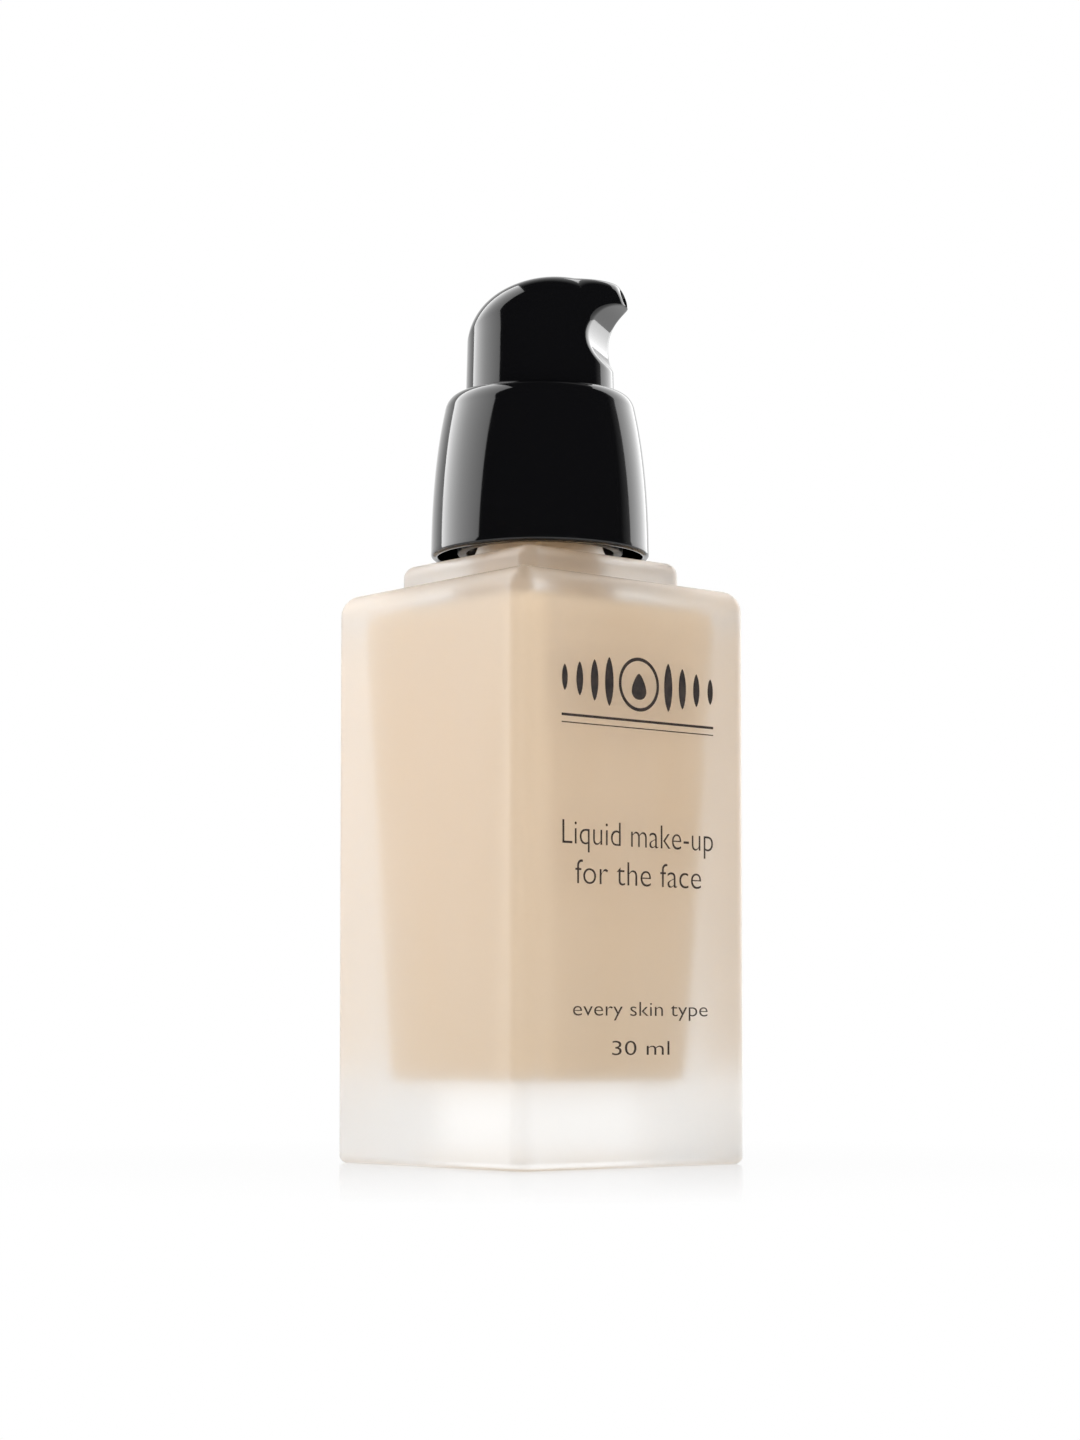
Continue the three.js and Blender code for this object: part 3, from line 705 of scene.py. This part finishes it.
def make_pump():
    make_turned("snap_ring", SNAP_RING, "retaining_ring", "pump_module", NATURAL)
    make_turned("wiper_seal", WIPER_SEAL, "stem_seal", "pump_module", NITRILE)
    make_turned("gasket", GASKET, "neck_gasket", "pump_module", FOAM)
    make_turned("upper_stem", UPPER_STEM, "stem", "plunger", NATURAL)
    make_turned("sleeve", SLEEVE, "piston", "piston_sleeve", SOFT)
    make_spring("lift_spring", "return_spring", "pump_module", wire=0.22, turns=6)
    make_spring("sleeve_spring", "piston_spring", "plunger", wire=0.16, turns=3)
    make_ball()
    carried = (("pump_housing", NATURAL), ("dip_tube", NATURAL), ("piston_rod", NATURAL),
               ("stem_plug", NATURAL), ("actuator_core", SATIN))
    for node, material in carried:
        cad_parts[node].material_slots[0].material = material


# ---------------------------------------------------------------- print on the front face
def print_mesh(name, bm):
    printed = add_mesh(name, bm, [INK])
    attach(printed, "bottle")


FACE = Matrix.Translation((0, -(BODY["half"] + INK_LIFT) * MM, 0)) @ Matrix.Rotation(math.pi / 2, 4, "X")


def print_words(name, words, height, x, z, width, thin=0.0):
    """Words on the front face, centred on x, with their foot on z, in millimetres."""
    curve = bpy.data.curves.new(name, "FONT")
    curve.body = words
    curve.size = height * MM
    curve.extrude = 0.008 * MM
    curve.resolution_u = 6
    curve.offset = -thin * MM
    text = bpy.data.objects.new(name, curve)
    bpy.context.scene.collection.objects.link(text)
    bpy.context.view_layer.update()
    mesh = text.to_mesh()
    bm = bmesh.new()
    bm.from_mesh(mesh)
    text.to_mesh_clear()
    bpy.data.objects.remove(text)
    xs = [v.co.x for v in bm.verts]
    squeeze = width * MM / (max(xs) - min(xs))
    middle = (max(xs) + min(xs)) / 2
    place = FACE @ Matrix.Translation((x * MM, z * MM, 0)) @ Matrix.Diagonal((squeeze, 1, 1, 1))
    bm.transform(place @ Matrix.Translation((-middle, 0, 0)))
    print_mesh(name, bm)


def add_outline(bm, points, thickness=0.016):
    """A flat closed shape on the front face, from (x, z) points in millimetres."""
    low = [bm.verts.new(FACE @ Vector((x * MM, z * MM, -thickness / 2 * MM))) for x, z in points]
    high = [bm.verts.new(FACE @ Vector((x * MM, z * MM, thickness / 2 * MM))) for x, z in points]
    bm.faces.new(low[::-1])
    bm.faces.new(high)
    for i in range(len(points)):
        j = (i + 1) % len(points)
        bm.faces.new([low[i], low[j], high[j], high[i]])


def add_band(bm, x, z, outer, inner, start=0.0, sweep=2 * math.pi, steps=64):
    """A round stroke of even width on the front face, in short straight pieces."""
    for k in range(steps):
        a, b = (start + sweep * (k + i) / steps for i in range(2))
        corners = [(outer, a), (outer, b), (inner, b), (inner, a)]
        add_outline(bm, [(x + r * math.cos(t), z + r * math.sin(t)) for r, t in corners])


def print_ornament(x, z):
    """A plain ornament: a ring round a drop, between rows of upright leaves that grow smaller."""
    bm = bmesh.new()
    add_band(bm, x, z, 3.0, 2.62)
    drop = []
    for k in range(40):
        a = 2 * math.pi * k / 40
        drop.append((x + 1.0 * math.cos(a) * (1 - 0.45 * math.sin(a)), z - 0.25 + 1.45 * math.sin(a)))
    add_outline(bm, drop)
    for side in (-1, 1):
        for k in range(4):
            middle = x + side * (4.4 + 2.15 * k)
            tall, wide = 2.7 - 0.42 * k, 0.62 - 0.07 * k
            leaf = [(middle + wide * math.cos(a) * abs(math.cos(a)) ** 0.4, z + tall * math.sin(a))
                    for a in (2 * math.pi * i / 32 for i in range(32))]
            add_outline(bm, leaf)
    print_mesh("print_ornament", bm)


def print_rules(x, z, width):
    bm = bmesh.new()
    for height, thick in ((z, 0.28), (z - 0.75, 0.12)):
        add_outline(bm, [(x - width / 2, height), (x + width / 2, height),
                         (x + width / 2, height + thick), (x - width / 2, height + thick)])
    print_mesh("print_rules", bm)


def make_print():
    print_ornament(0, 53.4)
    print_rules(0, 49.2, 22.6)
    print_words("print_kind", "Liquid make-up", 3.9, 0, 35.3, 22.4, thin=0.05)
    print_words("print_use", "for the face", 3.9, 0, 31, 18.7, thin=0.05)
    print_words("print_skin", "every skin type", 2.3, 0.3, 16.7, 20, thin=0.02)
    print_words("print_volume", "30 ml", 2.3, 0.2, 12.4, 8.5, thin=0.02)


# ---------------------------------------------------------------- studio
LEVEL = 0.01392  # the camera's height over the floor
DISTANCE = 0.3348  # from the object's axis to the camera
AZIMUTH = math.radians(-40.2)  # the camera's
BACK = Vector((math.sin(AZIMUTH), -math.cos(AZIMUTH), 0))
RIGHT = Vector((math.cos(AZIMUTH), math.sin(AZIMUTH), 0))


def make_camera():
    data = bpy.data.cameras.new("camera")
    data.lens = 72.94
    data.shift_y = 0.12
    data.clip_start = 0.01
    camera = bpy.data.objects.new("camera", data)
    bpy.context.scene.collection.objects.link(camera)
    pitch = math.radians(2.913)
    look = (-BACK * math.cos(pitch) + Vector((0, 0, math.sin(pitch))))
    camera.location = BACK * DISTANCE + Vector((0, 0, LEVEL))
    camera.rotation_euler = look.to_track_quat("-Z", "Y").to_euler()
    bpy.context.scene.camera = camera


def make_softbox(name, turn, distance, height, width, tall, radiance, kind):
    """A soft rectangular light, placed by its turn to the right of the camera's own place.

    A "strip" is only seen reflected, and a "fill" only lights matt things and what is inside the glass.
    """
    data = bpy.data.lights.new(name, "AREA")
    data.shape = "RECTANGLE"
    data.size, data.size_y = width, tall
    data.energy = radiance * math.pi * width * tall
    light = bpy.data.objects.new(name, data)
    bpy.context.scene.collection.objects.link(light)
    angle = math.radians(turn)
    light.location = (BACK * math.cos(angle) + RIGHT * math.sin(angle)) * distance + Vector((0, 0, height))
    light.rotation_euler = (Vector((0, 0, 0.05)) - light.location).to_track_quat("-Z", "Y").to_euler()
    light.visible_glossy = kind == "strip"
    light.visible_diffuse = light.visible_transmission = kind == "fill"
    return light


def shade_across(light, first, last):
    """Lets a softbox's brightness change evenly from one upright edge to the other."""
    light.data.use_nodes = True
    nodes, links = light.data.node_tree.nodes, light.data.node_tree.links
    place = nodes.new("ShaderNodeNewGeometry")
    parts = nodes.new("ShaderNodeSeparateXYZ")
    share = nodes.new("ShaderNodeMapRange")
    share.inputs["To Min"].default_value = first
    share.inputs["To Max"].default_value = last
    links.new(place.outputs["Parametric"], parts.inputs["Vector"])
    links.new(parts.outputs["X"], share.inputs["Value"])
    links.new(share.outputs["Result"], nodes["Emission"].inputs["Strength"])


def make_world():
    """A white studio behind the object and a dark one in front of it. The camera sees plain white."""
    world = bpy.data.worlds.new("studio")
    world.use_nodes = True
    bpy.context.scene.world = world
    nodes, links = world.node_tree.nodes, world.node_tree.links
    nodes.clear()
    place = nodes.new("ShaderNodeTexCoord")
    behind = nodes.new("ShaderNodeVectorMath")
    behind.operation = "DOT_PRODUCT"
    behind.inputs[1].default_value = -BACK
    ramp = nodes.new("ShaderNodeValToRGB")
    ramp.color_ramp.elements[0].position = 0.55
    ramp.color_ramp.elements[0].color = (0.03, 0.03, 0.032, 1)
    ramp.color_ramp.elements[1].position = 0.9
    ramp.color_ramp.elements[1].color = (1.2, 1.2, 1.2, 1)
    half = nodes.new("ShaderNodeMapRange")
    half.inputs["From Min"].default_value = -1
    studio = nodes.new("ShaderNodeBackground")
    plain = nodes.new("ShaderNodeBackground")
    plain.inputs["Color"].default_value = (1, 1, 1, 1)
    path = nodes.new("ShaderNodeLightPath")
    mix = nodes.new("ShaderNodeMixShader")
    output = nodes.new("ShaderNodeOutputWorld")
    links.new(place.outputs["Generated"], behind.inputs[0])
    links.new(behind.outputs["Value"], half.inputs["Value"])
    links.new(half.outputs["Result"], ramp.inputs["Fac"])
    links.new(ramp.outputs["Color"], studio.inputs["Color"])
    links.new(path.outputs["Is Camera Ray"], mix.inputs["Fac"])
    links.new(studio.outputs["Background"], mix.inputs[1])
    links.new(plain.outputs["Background"], mix.inputs[2])
    links.new(mix.outputs["Shader"], output.inputs["Surface"])


def floor_material():
    """A plain white light table, glossy only near the object."""
    material = bpy.data.materials.new("floor")
    material.use_nodes = True
    nodes, links = material.node_tree.nodes, material.node_tree.links
    nodes.clear()
    glow = nodes.new("ShaderNodeEmission")
    glow.inputs["Color"].default_value = (1, 1, 1, 1)
    gloss = nodes.new("ShaderNodeBsdfGlossy")
    gloss.inputs["Roughness"].default_value = 0.15
    mix = nodes.new("ShaderNodeMixShader")
    place = nodes.new("ShaderNodeTexCoord")
    length = nodes.new("ShaderNodeVectorMath")
    length.operation = "LENGTH"
    share = nodes.new("ShaderNodeMapRange")
    share.inputs["From Min"].default_value = 0.022
    share.inputs["From Max"].default_value = 0.085
    share.inputs["To Min"].default_value = 0.36
    share.inputs["To Max"].default_value = 0
    output = nodes.new("ShaderNodeOutputMaterial")
    links.new(place.outputs["Object"], length.inputs[0])
    links.new(length.outputs["Value"], share.inputs["Value"])
    links.new(share.outputs["Result"], mix.inputs["Fac"])
    links.new(glow.outputs["Emission"], mix.inputs[1])
    links.new(gloss.outputs["BSDF"], mix.inputs[2])
    links.new(mix.outputs["Shader"], output.inputs["Surface"])
    return material


def make_floor():
    bm = bmesh.new()
    bmesh.ops.create_circle(bm, cap_ends=True, segments=96, radius=1.5)
    floor = add_mesh("floor", bm, [floor_material()])


make_camera()
make_glass()
make_cream()
make_collar()
make_inner_cap()
make_head()
make_spout_insert()
make_pump()
make_print()
make_world()
make_floor()
left_strip = make_softbox("left_strip", turn=-97, distance=0.62, height=0.45, width=0.86, tall=1.0,
                          radiance=4.6, kind="strip")
shade_across(left_strip, first=1.25, last=0.55)
make_softbox("right_strip", turn=133, distance=0.75, height=0.45, width=0.72, tall=1.0,
             radiance=2.2, kind="strip")
make_softbox("left_fill", turn=-20, distance=0.6, height=0.35, width=0.7, tall=0.7,
             radiance=2.0, kind="fill")
make_softbox("right_fill", turn=55, distance=0.6, height=0.35, width=0.7, tall=0.7,
             radiance=1.45, kind="fill")
bpy.context.scene.view_settings.view_transform = "Standard"
